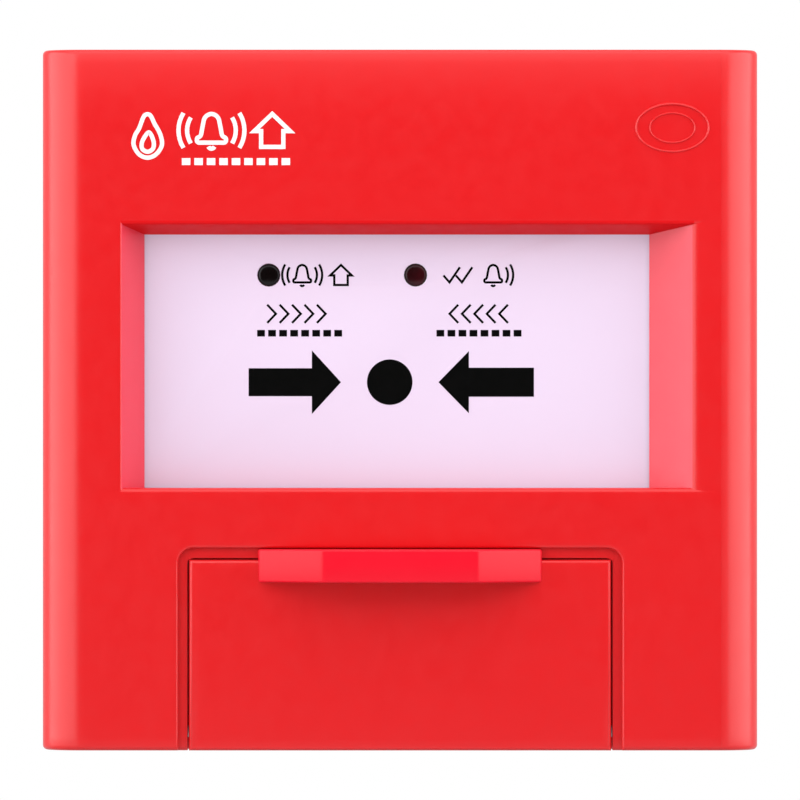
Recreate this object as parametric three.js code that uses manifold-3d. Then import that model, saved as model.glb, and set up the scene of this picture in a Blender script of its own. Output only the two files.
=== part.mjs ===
// A wall-mounted manual call point: a red moulded cover with a recessed press plate, two indicator lamps,
// a hinged service door over a telephone jack and a key-operated reset cam, and a screw-down wall base.
// Millimetres, +Z up. The origin is the centre of the wall face, and the front looks along -Y.

import * as THREE from "three";
import { mergeVertices } from "three/addons/utils/BufferGeometryUtils.js";
import { ConvexGeometry } from "three/addons/geometries/ConvexGeometry.js";
import Module from "manifold-3d";

const wasm = await Module();
wasm.setup();

// ---- Driving dimensions ----

const WIDTH = 92;
const HEIGHT = 90;
const FRONT_Y = -37; // flat front of the cover
const SKIRT_Y = -8; // back edge of the cover, where the base shows
const WALL = 2.2;
const EDGE_RADIUS = 5.5; // upright front edges of the cover
const FIT = 0.4; // side clearance of the base inside the cover
const SEAT = 0.05; // gap between pieces that bear on each other
const REACH = 1; // how far a cutting solid runs past the face it cuts

const WINDOW = { left: -32.9, right: 32.1, bottom: -11.3, top: 21.3, floor: -32 };
const BEVEL = { left: 2.9, right: 5.6, bottom: 0, top: 1.8 }; // slopes of the recess, at the front
const RIM = 2.2; // wall round the recess, which the press plate stops against

const PLATE = { front: -31.7, back: -29.5, lap: 1.6, flange: 1.5, flangeBack: -26.5, flangeTop: 19 };
const PIVOT = { y: -28.6, z: 24.2, pin: 0.75, bore: 0.84, barrel: 1.9 };
const SPRING = { turns: 3.125, stepsPerTurn: 8, coil: 1.5, wire: 0.25, inner: 30.4, pitch: 0.6 };
const LUG = { inner: 35.2, outer: 37.5, bottom: 22, top: 26.4 };
const LAMP = { start: -16.9, reply: 2, z: 16.1, lens: 1.42, hole: 1.5, collar: -24 };

const DOOR = { half: 27.1, top: -20.5, back: -34.8 };
const DOORWAY = { half: 28.5, top: -19, groove: -35.9, floor: -34.6, corner: 2, shelf: 1.6 };
const TAB = { rootHalf: 18.2, tipHalf: 10, root: -36.05, front: -42.3, bottom: -23.4, top: -19.15 };
const HINGE = { y: -33.2, z: -42.6, pin: 0.75, pinHalf: 30.2, bore: 0.84 };
const HINGE_BARREL = { radius: 1.6, inner: 17, webFront: -35.2 };
const BAY = { half: 25.5, top: -22, bottom: -43.2, floor: -26, wall: 1.8, floorBack: -24 };
const SWING = { half: 27.3, top: -40.5, back: -29.6 }; // room for the door's lower edge as it turns

const JACK = { x: -12, z: -33, bore: 3.2, boreEnd: -14.8, bush: 4.4, hole: 4.6, front: -30.2 };
const JACK_BODY = { half: 6, back: -13.8 };
const NUT = { radius: 6.4, thickness: 2.2, washer: 6.6, washerThickness: 0.5 };
const RESET = { x: 14, z: -33, head: 4.4, headHeight: 1.2, shaft: 3.4, hole: 3.6, square: 1.9, end: -20.2 };
const KEYWAY = { half: 2.7, width: 1.6, depth: 2.8 };
const LOBE = { front: -23.7, back: -21.5, hub: 3.6, reach: 6.6, half: 1.8, square: 2.05 };
const CLIP = { front: -21.05, back: -20.65, outer: 3.6, inner: 1.85, groove: 1.7, mouth: 2.6 };
const LATCH = { left: 8.1, right: 8.5, noseTip: 10.2, noseBack: -20.2, foot: -1, padBack: -22.2 };
const LATCH_SCREW_SEAT = [2.6, -21.7, -39.6];

const BOARD = { half: 39, bottom: -34.5, top: 37, front: -13.6, back: -12 };
const BOSSES = [[-36, 33], [36, 33], [-36, -31], [36, -31]];
const BOSS = { radius: 3, pilot: 1.1, pilotFront: -21 };
const BASE = { floor: 2.5, rimFront: -11.5, rim: 1.8 };
const LOCK = { y: -14, half: 6, blockFront: -18, blockTop: -36, head: 2.6, shank: 1.1, tip: -37.6 };
const SNAPS = [-22, 22];
const SNAP = { half: 3.5, windowHalf: 4, front: -14.9, back: -12.9, armFront: -16.5, arm: 1.8, bite: 1.9 };
const CABLE = { half: 15, bottom: 7, top: 25 };
const SLOT = { x: 30, width: 4.6, length: 8.6 };
const POLES = 3;
const TERMINAL = { inner: 5, outer: 27, bottom: -20, top: -8, front: -10.8, screwSeat: -9, screwZ: -12 };
const CAPACITORS = [[26, -7], [-28, 13]];
const BOARD_SCREW = { head: 2.4, headHeight: 1.4, shank: 1, length: 8.6 };
const TERMINAL_SCREW = { head: 1.7, headHeight: 1.5, shank: 1.2, length: 4.1 };
const SMALL_SCREW = { head: 1.8, headHeight: 1, shank: 0.7, length: 3.5, pilot: 0.8 };
const SWITCH = { left: -12, right: 7.8, bottom: -7, top: -0.6, front: -23.6 };
const LEVER = { pivotX: -10.5, pivotY: -23, rest: THREE.MathUtils.degToRad(8.2), plungerX: -5 };

// ---- Materials ----

function finish(color, roughness, metalness) {
  return new THREE.MeshStandardMaterial({ color, roughness, metalness });
}

const redPlastic = finish(0xf02528, 0.42, 0);
const whitePlastic = finish(0xf5e3fb, 0.4, 0);
const blackPlastic = finish(0x17181a, 0.5, 0);
const smokedLens = finish(0x120a0c, 0.15, 0);
const redLamp = finish(0xd81e1e, 0.2, 0);
const greenLamp = finish(0x2fae4a, 0.2, 0);
const boardGreen = finish(0x1d6b3a, 0.5, 0);
const terminalGrey = finish(0x8d9196, 0.55, 0);
const relayBlue = finish(0x2a4f9e, 0.45, 0);
const steel = finish(0xb9bcc0, 0.3, 1);
const springSteel = finish(0x9a9da1, 0.35, 1);
const brass = finish(0xc9a24a, 0.3, 1);

// ---- Solids ----

// A closed three.js geometry as a solid that can be joined and cut.
function solid(geometry) {
  const bare = geometry.clone();
  bare.deleteAttribute("normal");
  bare.deleteAttribute("uv");
  const merged = mergeVertices(bare, 1e-4);
  const mesh = new wasm.Mesh({
    numProp: 3,
    vertProperties: merged.attributes.position.array,
    triVerts: new Uint32Array(merged.index.array),
  });
  return new wasm.Manifold(mesh);
}

// A box between three pairs of limits.
function block([x0, x1], [y0, y1], [z0, z1]) {
  const box = new THREE.BoxGeometry(x1 - x0, y1 - y0, z1 - z0);
  return solid(box.translate((x0 + x1) / 2, (y0 + y1) / 2, (z0 + z1) / 2));
}

// How an extrusion's own X, Y and Z lie in the part: along X the outline is (y, z), along Y it is (x, z).
const BASES = {
  x: [new THREE.Vector3(0, 1, 0), new THREE.Vector3(0, 0, 1), new THREE.Vector3(1, 0, 0)],
  y: [new THREE.Vector3(1, 0, 0), new THREE.Vector3(0, 0, 1), new THREE.Vector3(0, -1, 0)],
  z: [new THREE.Vector3(1, 0, 0), new THREE.Vector3(0, 1, 0), new THREE.Vector3(0, 0, 1)],
};

// An outline carried along an axis from one place to another.
function prism(axis, shape, [from, to], curveSegments = 6) {
  const settings = { depth: to - from, bevelEnabled: false, curveSegments };
  const geometry = new THREE.ExtrudeGeometry(shape, settings);
  geometry.applyMatrix4(new THREE.Matrix4().makeBasis(...BASES[axis]));
  const start = new THREE.Vector3();
  start[axis] = axis === "y" ? to : from;
  return solid(geometry.translate(start.x, start.y, start.z));
}

function outline(points) {
  return new THREE.Shape(points.map(([a, b]) => new THREE.Vector2(a, b)));
}

// A round bar along an axis; a and b are its centre in the outline's two directions.
function rod(axis, [a, b], radius, span, sides = 24) {
  const shape = new THREE.Shape().absarc(a, b, radius, 0, 2 * Math.PI);
  return prism(axis, shape, span, sides / 2);
}

function ring(axis, centre, outer, inner, span, sides = 24) {
  const [from, to] = span;
  return rod(axis, centre, outer, span, sides).subtract(
    rod(axis, centre, inner, [from - REACH, to + REACH], sides),
  );
}

// The convex solid between two rectangles that face along Y.
function taper(near, nearY, far, farY) {
  const corners = [];
  for (const [face, y] of [[near, nearY], [far, farY]]) {
    for (const x of [face.left, face.right]) {
      for (const z of [face.bottom, face.top]) {
        corners.push(new THREE.Vector3(x, y, z));
      }
    }
  }
  return solid(new ConvexGeometry(corners));
}

// A rectangle moved outwards by the amounts given for its four sides.
function grown(face, by) {
  return {
    left: face.left - by.left,
    right: face.right + by.right,
    bottom: face.bottom - by.bottom,
    top: face.top + by.top,
  };
}

const even = (amount) => ({ left: amount, right: amount, bottom: amount, top: amount });

function join(...solids) {
  return solids.reduce((whole, piece) => whole.add(piece));
}

function cut(body, ...tools) {
  return tools.reduce((whole, tool) => whole.subtract(tool), body);
}

const callPoint = new THREE.Group();

// A group with its origin on a joint, so turning or sliding the group moves everything it carries.
function carrier(x, y, z) {
  const group = new THREE.Group();
  group.position.set(x, y, z);
  callPoint.add(group);
  return group;
}

const housing = carrier(0, 0, 0);
const plateCarrier = carrier(0, PIVOT.y, PIVOT.z);
const doorCarrier = carrier(0, HINGE.y, HINGE.z);
const camCarrier = carrier(RESET.x, BAY.floor, RESET.z);
const leverCarrier = carrier(LEVER.pivotX, LEVER.pivotY, 0);
leverCarrier.rotation.z = -LEVER.rest;

// Adds a solid to a group as one named mesh. The solid is drawn about the origin of the group, unless
// at says where in the group it goes.
function place(group, name, body, material, at = [0, 0, 0]) {
  const made = body.getMesh();
  const geometry = new THREE.BufferGeometry();
  geometry.setAttribute("position", new THREE.BufferAttribute(made.vertProperties, 3));
  geometry.setIndex(new THREE.BufferAttribute(made.triVerts, 1));
  geometry.computeVertexNormals();
  const mesh = new THREE.Mesh(geometry, material);
  mesh.name = name;
  mesh.position.set(...at);
  group.add(mesh);
}

// A solid drawn in the part's own frame, moved into the frame of the group that carries it.
function carried(group, body) {
  const { x, y, z } = group.position;
  return body.translate([-x, -y, -z]);
}

// A round-cornered plan, open at the back, that makes the cover's outside and its hollow.
function coverPlan(halfWidth, front, back, radius) {
  const plan = new THREE.Shape();
  plan.moveTo(-halfWidth, back);
  plan.lineTo(-halfWidth, front + radius);
  plan.absarc(-halfWidth + radius, front + radius, radius, Math.PI, 1.5 * Math.PI);
  plan.absarc(halfWidth - radius, front + radius, radius, 1.5 * Math.PI, 2 * Math.PI);
  plan.lineTo(halfWidth, back);
  return plan;
}

// ---- Housing ----

function coverShell() {
  const halfWidth = WIDTH / 2;
  const halfHeight = HEIGHT / 2;
  const plan = coverPlan(halfWidth, FRONT_Y, SKIRT_Y, EDGE_RADIUS);
  const inside = coverPlan(halfWidth - WALL, FRONT_Y + WALL, SKIRT_Y + REACH, EDGE_RADIUS - WALL);
  return cut(
    prism("z", plan, [-halfHeight, halfHeight]),
    prism("z", inside, [WALL - halfHeight, halfHeight - WALL]),
  );
}

// The funnel-shaped wall behind the press recess.
function recessWall() {
  const front = grown(grown(WINDOW, BEVEL), even(RIM));
  return taper(front, FRONT_Y + REACH, grown(WINDOW, even(RIM)), WINDOW.floor);
}

function recessCut() {
  const depth = WINDOW.floor - FRONT_Y;
  const share = (depth + REACH) / depth;
  const widened = {
    left: BEVEL.left * share,
    right: BEVEL.right * share,
    bottom: BEVEL.bottom * share,
    top: BEVEL.top * share,
  };
  return join(
    taper(grown(WINDOW, widened), FRONT_Y - REACH, WINDOW, WINDOW.floor),
    block([WINDOW.left, WINDOW.right], [WINDOW.floor - REACH, PLATE.front], [WINDOW.bottom, WINDOW.top]),
  );
}

// The pocket behind the door, with a shelf round it that the door closes on.
function bayWalls() {
  const side = BAY.half + BAY.wall;
  const lugSide = DOORWAY.half + WALL;
  const shelfBack = DOORWAY.floor + DOORWAY.shelf;
  const low = WALL - HEIGHT / 2 - SEAT;
  return join(
    block([-DOORWAY.half - BAY.wall, DOORWAY.half + BAY.wall], [FRONT_Y + REACH, shelfBack],
      [low, DOORWAY.top + BAY.wall]),
    block([-side, side], [FRONT_Y + WALL, BAY.floorBack], [low, BAY.top + BAY.wall]),
    block([-lugSide, lugSide], [FRONT_Y + WALL, SWING.back + BAY.wall], [low, SWING.top + BAY.wall]),
  );
}

function bayCuts() {
  const under = -HEIGHT / 2 - REACH;
  const doorway = new THREE.Shape();
  doorway.moveTo(-DOORWAY.half, under);
  doorway.lineTo(DOORWAY.half, under);
  const cornerZ = DOORWAY.top - DOORWAY.corner;
  doorway.absarc(DOORWAY.half - DOORWAY.corner, cornerZ, DOORWAY.corner, 0, Math.PI / 2);
  doorway.absarc(DOORWAY.corner - DOORWAY.half, cornerZ, DOORWAY.corner, Math.PI / 2, Math.PI);
  const behindShelf = DOORWAY.floor - SEAT;
  return join(
    prism("y", doorway, [FRONT_Y - REACH, DOORWAY.groove]),
    block([-SWING.half, SWING.half], [FRONT_Y, DOORWAY.floor], [under, DOOR.top + SWING.half - DOOR.half]),
    block([-BAY.half, BAY.half], [behindShelf, BAY.floor], [BAY.bottom, BAY.top]),
    block([-SWING.half, SWING.half], [behindShelf, SWING.back], [under, SWING.top]),
  );
}

function screwBoss([x, z]) {
  return rod("y", [x, z], BOSS.radius, [FRONT_Y + WALL - SEAT, BOARD.front - SEAT], 20);
}

function pivotLug(side) {
  const span = [side * LUG.inner, side * LUG.outer].sort((a, b) => a - b);
  return block(span, [FRONT_Y + WALL - SEAT, PIVOT.y + PIVOT.barrel], [LUG.bottom, LUG.top]);
}

function frontCover() {
  const padWidth = [LATCH.foot, LATCH.left - 0.5];
  const latchPad = block(padWidth, [BAY.floorBack - SEAT, LATCH.padBack], [-42.2, -37]);
  const body = join(
    coverShell(),
    recessWall(),
    bayWalls(),
    latchPad,
    pivotLug(-1),
    pivotLug(1),
    ...BOSSES.map(screwBoss),
  );
  const throughFloor = [BAY.floor - REACH, BAY.floorBack + REACH];
  const bottom = -HEIGHT / 2;
  const top = HEIGHT / 2;
  const pilots = BOSSES.map((at) => rod("y", at, BOSS.pilot, [BOSS.pilotFront, BOARD.front], 12));
  const windows = SNAPS.map((x) =>
    block([x - SNAP.windowHalf, x + SNAP.windowHalf], [SNAP.front - 0.3, SNAP.back + 0.3],
      [top - WALL - REACH, top + REACH]),
  );
  const [screwX, , screwZ] = LATCH_SCREW_SEAT;
  return cut(
    body,
    recessCut(),
    bayCuts(),
    rod("x", [HINGE.y, HINGE.z], HINGE.bore, [-HINGE.pinHalf - 0.2, HINGE.pinHalf + 0.2], 20),
    rod("x", [PIVOT.y, PIVOT.z], PIVOT.bore, [-LUG.outer - REACH, LUG.outer + REACH], 20),
    rod("y", [JACK.x, JACK.z], JACK.hole, throughFloor),
    rod("y", [RESET.x, RESET.z], RESET.hole, throughFloor),
    rod("y", [screwX, screwZ], SMALL_SCREW.pilot, [-25.4, -21], 12),
    rod("z", [0, LOCK.y], 1.5, [bottom - REACH, bottom + WALL + REACH], 16),
    rod("z", [0, LOCK.y], LOCK.head + 0.3, [bottom - REACH, bottom + 1.3], 20),
    ...pilots,
    ...windows,
  );
}

function slotCut(x, turned) {
  const half = SLOT.width / 2;
  const reach = (SLOT.length - SLOT.width) / 2;
  const shape = new THREE.Shape();
  shape.absarc(turned ? x + reach : x, turned ? 0 : reach, half, turned ? -Math.PI / 2 : 0,
    turned ? Math.PI / 2 : Math.PI);
  shape.absarc(turned ? x - reach : x, turned ? 0 : -reach, half, turned ? Math.PI / 2 : Math.PI,
    turned ? 1.5 * Math.PI : 2 * Math.PI);
  return prism("y", shape, [-BASE.floor - REACH, REACH], 8);
}

function snapHook(x) {
  const roof = HEIGHT / 2 - WALL - FIT;
  const across = [x - SNAP.half, x + SNAP.half];
  return join(
    block(across, [SNAP.armFront, -BASE.floor], [roof - SNAP.arm, roof]),
    block(across, [SNAP.front, SNAP.back], [roof - SNAP.arm, roof + SNAP.bite]),
  );
}

function mountingBase() {
  const halfWidth = WIDTH / 2 - WALL - FIT;
  const halfHeight = HEIGHT / 2 - WALL - FIT;
  const inset = BASE.rim;
  const tray = cut(
    block([-halfWidth, halfWidth], [BASE.rimFront, 0], [-halfHeight, halfHeight]),
    block([inset - halfWidth, halfWidth - inset], [BASE.rimFront - REACH, -BASE.floor],
      [inset - halfHeight, halfHeight - inset]),
  );
  const lockBlock = block([-LOCK.half, LOCK.half], [LOCK.blockFront, -BASE.floor + SEAT],
    [-halfHeight, LOCK.blockTop]);
  return cut(
    join(tray, lockBlock, ...SNAPS.map(snapHook)),
    block([-CABLE.half, CABLE.half], [-BASE.floor - REACH, REACH], [CABLE.bottom, CABLE.top]),
    slotCut(-SLOT.x, false),
    slotCut(SLOT.x, true),
    rod("z", [0, LOCK.y], LOCK.shank + 0.15, [-halfHeight - REACH, LOCK.tip + 0.4], 12),
  );
}

// A cross-head screw along Y with the underside of its head at the origin. side is 1 when the head is
// on the +Y side of it and -1 when it is on the -Y side.
function screw({ head, headHeight, shank, length }, side) {
  const along = (from, to) => [side * from, side * to].sort((a, b) => a - b);
  const slotHalf = head * 0.64;
  const slot = along(headHeight * 0.55, headHeight + REACH);
  return cut(
    join(
      rod("y", [0, 0], head, along(0, headHeight), 16),
      rod("y", [0, 0], shank, along(-length, SEAT), 12),
    ),
    block([-slotHalf, slotHalf], slot, [-0.3, 0.3]),
    block([-0.3, 0.3], slot, [-slotHalf, slotHalf]),
  );
}

function lockScrew() {
  const bottom = -HEIGHT / 2;
  const head = rod("z", [0, LOCK.y], LOCK.head, [bottom + 0.1, bottom + 1.2], 20);
  const shank = rod("z", [0, LOCK.y], LOCK.shank, [bottom + 1.1, LOCK.tip], 12);
  const recess = [bottom - REACH, bottom + 0.7];
  return cut(
    join(head, shank),
    block([-1.5, 1.5], [LOCK.y - 0.3, LOCK.y + 0.3], recess),
    block([-0.3, 0.3], [LOCK.y - 1.5, LOCK.y + 1.5], recess),
  );
}

// ---- Press plate and its pivot ----

function pressPlate() {
  const { left, right, bottom } = grown(WINDOW, even(PLATE.lap));
  const { flange, flangeTop, flangeBack, back, front } = PLATE;
  const top = PIVOT.z + 0.6;
  const behind = [back, flangeBack + REACH];
  const tray = cut(
    block([left, right], [front, flangeBack], [bottom, top]),
    block([left + flange, right - flange], behind, [bottom + flange, top + REACH]),
    block([left - REACH, right + REACH], behind, [flangeTop, top + REACH]),
  );
  const barrels = [[-30, -20], [20, 30]].map((span) =>
    join(
      rod("x", [PIVOT.y, PIVOT.z], PIVOT.barrel, span),
      block(span, [back - SEAT, PIVOT.y], [PIVOT.z - 1.3, top]),
    ),
  );
  const switchRib = block([4.4, 6], [back - SEAT, -26.75], [-6, -1.6]);
  const latchLeg = prism(
    "x",
    outline([
      [back - SEAT, bottom + 3.4],
      [back - SEAT, bottom + 0.4],
      [-23.2, bottom + 0.4],
      [-23.2, -27],
      [-20.8, -27],
      [-20.8, bottom + 3.4],
    ]),
    [9.2, 12.4],
  );
  const springNotch = (side) => {
    const span = [side * (SPRING.inner - 0.4), side * 36].sort((a, b) => a - b);
    return block(span, [front - REACH, PIVOT.y + REACH], [22.2, top + REACH]);
  };
  return cut(
    join(tray, ...barrels, switchRib, latchLeg),
    springNotch(-1),
    springNotch(1),
    rod("x", [PIVOT.y, PIVOT.z], PIVOT.bore, [-31, 31], 20),
    rod("y", [LAMP.start, LAMP.z], LAMP.hole, [front - REACH, back + REACH], 20),
    rod("y", [LAMP.reply, LAMP.z], LAMP.hole, [front - REACH, back + REACH], 20),
  );
}

function pivotPin() {
  return rod("x", [PIVOT.y, PIVOT.z], PIVOT.pin, [0.1 - LUG.outer, LUG.outer - 0.1], 16);
}

function lampLens() {
  return rod("y", [0, 0], LAMP.lens, [PLATE.front + 0.1, PLATE.back - 0.2], 20);
}

// A wound wire: turns round the pivot pin, one leg behind the plate and one on the cover's front wall.
function torsionSpring(side) {
  const { turns, stepsPerTurn, coil, wire, inner, pitch } = SPRING;
  const points = [new THREE.Vector3(side * inner, PLATE.back + wire + SEAT, PIVOT.z - 8)];
  for (let i = 0; i <= turns * stepsPerTurn; i += 1) {
    const angle = (i / stepsPerTurn) * 2 * Math.PI;
    const x = side * (inner + (pitch * i) / stepsPerTurn);
    const y = PIVOT.y + coil * Math.cos(angle);
    points.push(new THREE.Vector3(x, y, PIVOT.z + coil * Math.sin(angle)));
  }
  const restY = FRONT_Y + WALL + wire + SEAT;
  points.push(new THREE.Vector3(side * (inner + pitch * turns), restY, PIVOT.z + 7));
  const path = new THREE.CatmullRomCurve3(points, false, "centripetal");
  const section = new THREE.Shape().absarc(0, 0, wire, 0, 2 * Math.PI);
  return solid(
    new THREE.ExtrudeGeometry(section, { steps: 64, extrudePath: path, curveSegments: 3 }),
  );
}

// ---- Reset lock and latch ----

// A bent strip: a foot screwed to the cover, a blade standing up from it and a nose turned over at the top.
function latchSpring() {
  const { left, right, noseTip, noseBack, padBack, foot } = LATCH;
  const sheet = right - left;
  const footY = [padBack + SEAT, padBack + SEAT + sheet];
  const body = join(
    block([foot, right], footY, [-42, -37.2]),
    block([left, right], [-23.6, noseBack], [-42, -23.5]),
    block([left, noseTip], [noseBack - sheet, noseBack], [-26.5, -24]),
  );
  const [x, , z] = LATCH_SCREW_SEAT;
  return cut(body, rod("y", [x, z], SMALL_SCREW.shank + 0.4, [-24, -20], 12));
}

function squareBar(half, span) {
  return block([RESET.x - half, RESET.x + half], span, [RESET.z - half, RESET.z + half]);
}

function resetBarrel() {
  const at = [RESET.x, RESET.z];
  const headBack = BAY.floor - 0.1;
  const headFront = headBack - RESET.headHeight;
  const turned = join(
    rod("y", at, RESET.head, [headFront, headBack]),
    rod("y", at, RESET.shaft, [headBack - SEAT, BAY.floorBack + 0.1], 24),
    squareBar(RESET.square, [BAY.floorBack - SEAT, RESET.end]),
  );
  const groove = ring("y", at, 4, CLIP.groove, [CLIP.front - SEAT, CLIP.back + SEAT], 16);
  const keyway = block([RESET.x - KEYWAY.half, RESET.x + KEYWAY.half],
    [headFront - REACH, headFront + KEYWAY.depth],
    [RESET.z - KEYWAY.width / 2, RESET.z + KEYWAY.width / 2]);
  return cut(turned, groove, keyway);
}

// The arm that pushes the latch spring off the plate's leg when the key turns.
function camLobe() {
  const span = [LOBE.front, LOBE.back];
  const tipZ = RESET.z - LOBE.reach + LOBE.half;
  const body = join(
    rod("y", [RESET.x, RESET.z], LOBE.hub, span),
    block([RESET.x - LOBE.half, RESET.x + LOBE.half], span, [tipZ, RESET.z]),
    rod("y", [RESET.x, tipZ], LOBE.half, span, 16),
  );
  return cut(body, squareBar(LOBE.square, [LOBE.front - REACH, LOBE.back + REACH]));
}

function retainingClip() {
  const mouth = block([RESET.x - CLIP.mouth / 2, RESET.x + CLIP.mouth / 2],
    [CLIP.front - REACH, CLIP.back + REACH], [RESET.z, RESET.z + CLIP.outer + REACH]);
  const whole = ring("y", [RESET.x, RESET.z], CLIP.outer, CLIP.inner, [CLIP.front, CLIP.back], 20);
  return cut(whole, mouth);
}

// ---- Telephone jack ----

function jackBody() {
  const at = [JACK.x, JACK.z];
  const body = join(
    rod("y", at, JACK.bush, [JACK.front, BAY.floorBack + REACH]),
    block([JACK.x - JACK_BODY.half, JACK.x + JACK_BODY.half], [BAY.floorBack + 0.1, JACK_BODY.back],
      [JACK.z - JACK_BODY.half, JACK.z + JACK_BODY.half]),
  );
  const contactSlot = block([JACK.x - 1.4, JACK.x + 1.4], [-22.4, -15.4],
    [JACK.z + 2.4, JACK.z + JACK_BODY.half + REACH]);
  return cut(body, rod("y", at, JACK.bore, [JACK.front - REACH, JACK.boreEnd], 20), contactSlot);
}

// The leaf that touches the plug's tip, with its solder tail out of the top of the body.
function jackContact() {
  const z = JACK.z + 3.9;
  const sheet = 0.3;
  return join(
    block([JACK.x - 1, JACK.x + 1], [-22.1, -15.8], [z, z + sheet]),
    block([JACK.x - 1, JACK.x + 1], [-15.8 - sheet, -15.8], [z, JACK.z + JACK_BODY.half + 0.8]),
  );
}

function jackWasher() {
  const back = BAY.floor - SEAT;
  return ring("y", [JACK.x, JACK.z], NUT.washer, JACK.hole, [back - NUT.washerThickness, back]);
}

function jackNut() {
  const back = BAY.floor - NUT.washerThickness - 2 * SEAT;
  const span = [back - NUT.thickness, back];
  const hole = rod("y", [JACK.x, JACK.z], JACK.hole, [span[0] - REACH, span[1] + REACH]);
  return cut(rod("y", [JACK.x, JACK.z], NUT.radius, span, 6), hole);
}

// ---- Service door ----

function serviceDoor() {
  const bottom = -HEIGHT / 2;
  const panel = block([-DOOR.half, DOOR.half], [FRONT_Y, DOOR.back], [bottom, DOOR.top]);
  const tab = prism(
    "z",
    outline([
      [-TAB.rootHalf, TAB.root],
      [-TAB.rootHalf, FRONT_Y],
      [-TAB.tipHalf, TAB.front],
      [TAB.tipHalf, TAB.front],
      [TAB.rootHalf, FRONT_Y],
      [TAB.rootHalf, TAB.root],
    ]),
    [TAB.bottom, TAB.top],
  );
  const ends = [[-DOOR.half, -HINGE_BARREL.inner], [HINGE_BARREL.inner, DOOR.half]];
  const barrels = ends.map((span) =>
    join(
      rod("x", [HINGE.y, HINGE.z], HINGE_BARREL.radius, span),
      block(span, [HINGE_BARREL.webFront, HINGE.y], [HINGE.z - 1, HINGE.z + 1]),
    ),
  );
  return cut(
    join(panel, tab, ...barrels),
    rod("x", [HINGE.y, HINGE.z], HINGE.bore, [-DOOR.half - REACH, DOOR.half + REACH], 20),
  );
}

function hingePin() {
  return rod("x", [HINGE.y, HINGE.z], HINGE.pin, [-HINGE.pinHalf, HINGE.pinHalf], 16);
}

// ---- Switch ----

function switchBody() {
  const { left, right, bottom, top, front } = SWITCH;
  const seat = BOARD.front - SEAT;
  const well = block([LEVER.plungerX - 0.9, LEVER.plungerX + 0.9], [front - REACH, front + 3],
    [-4.9, -2.7]);
  const fixing = (x) => rod("z", [x, -16.5], 1.1, [bottom - REACH, top + REACH], 12);
  return cut(block([left, right], [front, seat], [bottom, top]), well, fixing(-7), fixing(2.5));
}

function switchPlunger() {
  const x = LEVER.plungerX;
  return block([x - 0.75, x + 0.75], [-24.5, -22], [-4.75, -2.85]);
}

// The lever is drawn closed, flat on the switch, about its pivot; its group turns it out to where it waits.
function switchLever() {
  const blade = [-1.15, -0.85];
  const ears = [[-7.35, -7.1], [-0.5, -0.25]].map((z) => block([-0.9, 1.1], [blade[0], 1], z));
  return join(
    block([-0.9, 17.3], blade, [-5.6, -2]),
    block([-0.9, 1.1], blade, [-7.35, -0.25]),
    ...ears,
  );
}

// ---- Circuit board and what stands on it ----

function circuitBoard() {
  const { half, bottom, top, front, back } = BOARD;
  const holes = BOSSES.map((at) => rod("y", at, 1.5, [front - REACH, back + REACH], 12));
  return cut(block([-half, half], [front, back], [bottom, top]), ...holes);
}

// A lamp pointing along -Y from the flat of its collar at the origin: radius and height up its dome.
function lampBody() {
  const profile = [
    [0, 0], [1.95, 0], [1.95, 1], [1.5, 1], [1.5, 3.4], [1.3, 4.15], [0.75, 4.75], [0, 4.9],
  ].map(([r, h]) => new THREE.Vector2(r, h));
  return solid(new THREE.LatheGeometry(profile, 20).rotateX(Math.PI));
}

function lampSpacer() {
  return ring("y", [0, 0], 2.5, 1.1, [LAMP.collar + 0.1, BOARD.front - SEAT], 20);
}

function boxPart(x, z, height) {
  return block(x, [BOARD.front - SEAT - height, BOARD.front - SEAT], z);
}

function capacitor() {
  return rod("y", [0, 0], 2.5, [BOARD.front - SEAT - 8, BOARD.front - SEAT], 20);
}

function terminalBlock(side) {
  const { inner, outer, bottom, top, front, screwZ } = TERMINAL;
  const span = [side * inner, side * outer].sort((a, b) => a - b);
  const cuts = [];
  for (const x of polePositions(side)) {
    cuts.push(rod("y", [x, screwZ], 1.9, [front - REACH, -4.6], 16));
    cuts.push(block([x - 1.7, x + 1.7], [-8.4, -5], [screwZ, top + REACH]));
    cuts.push(block([x - 0.6, x + 0.6], [front - REACH, -5], [-18.6, -17.4]));
  }
  return cut(block(span, [front, -BASE.floor - SEAT], [bottom, top]), ...cuts);
}

function polePositions(side) {
  const middle = (side * (TERMINAL.inner + TERMINAL.outer)) / 2;
  return Array.from({ length: POLES }, (_, i) => middle + (i - 1) * 7);
}

function plugHeader(side) {
  const middle = (side * (TERMINAL.inner + TERMINAL.outer)) / 2;
  const strip = block([middle - 8.6, middle + 8.6], [-11.95, -10.9], [-19.1, -16.9]);
  const pins = polePositions(side).map((x) =>
    block([x - 0.4, x + 0.4], [-11, -5.6], [-18.4, -17.6]),
  );
  return join(strip, ...pins);
}

// ---- The assembly ----

place(housing, "front_cover", frontCover(), redPlastic);
place(housing, "mounting_base", mountingBase(), redPlastic);
place(housing, "cover_lock_screw", lockScrew(), steel);

place(plateCarrier, "press_plate", carried(plateCarrier, pressPlate()), whitePlastic);
const lens = carried(plateCarrier, lampLens());
place(plateCarrier, "start_led_lens", lens, smokedLens, [LAMP.start, 0, LAMP.z]);
place(plateCarrier, "reply_led_lens", lens, smokedLens, [LAMP.reply, 0, LAMP.z]);
place(housing, "plate_pivot_pin", pivotPin(), steel);
place(housing, "plate_spring_left", torsionSpring(-1), springSteel);
place(housing, "plate_spring_right", torsionSpring(1), springSteel);

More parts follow.
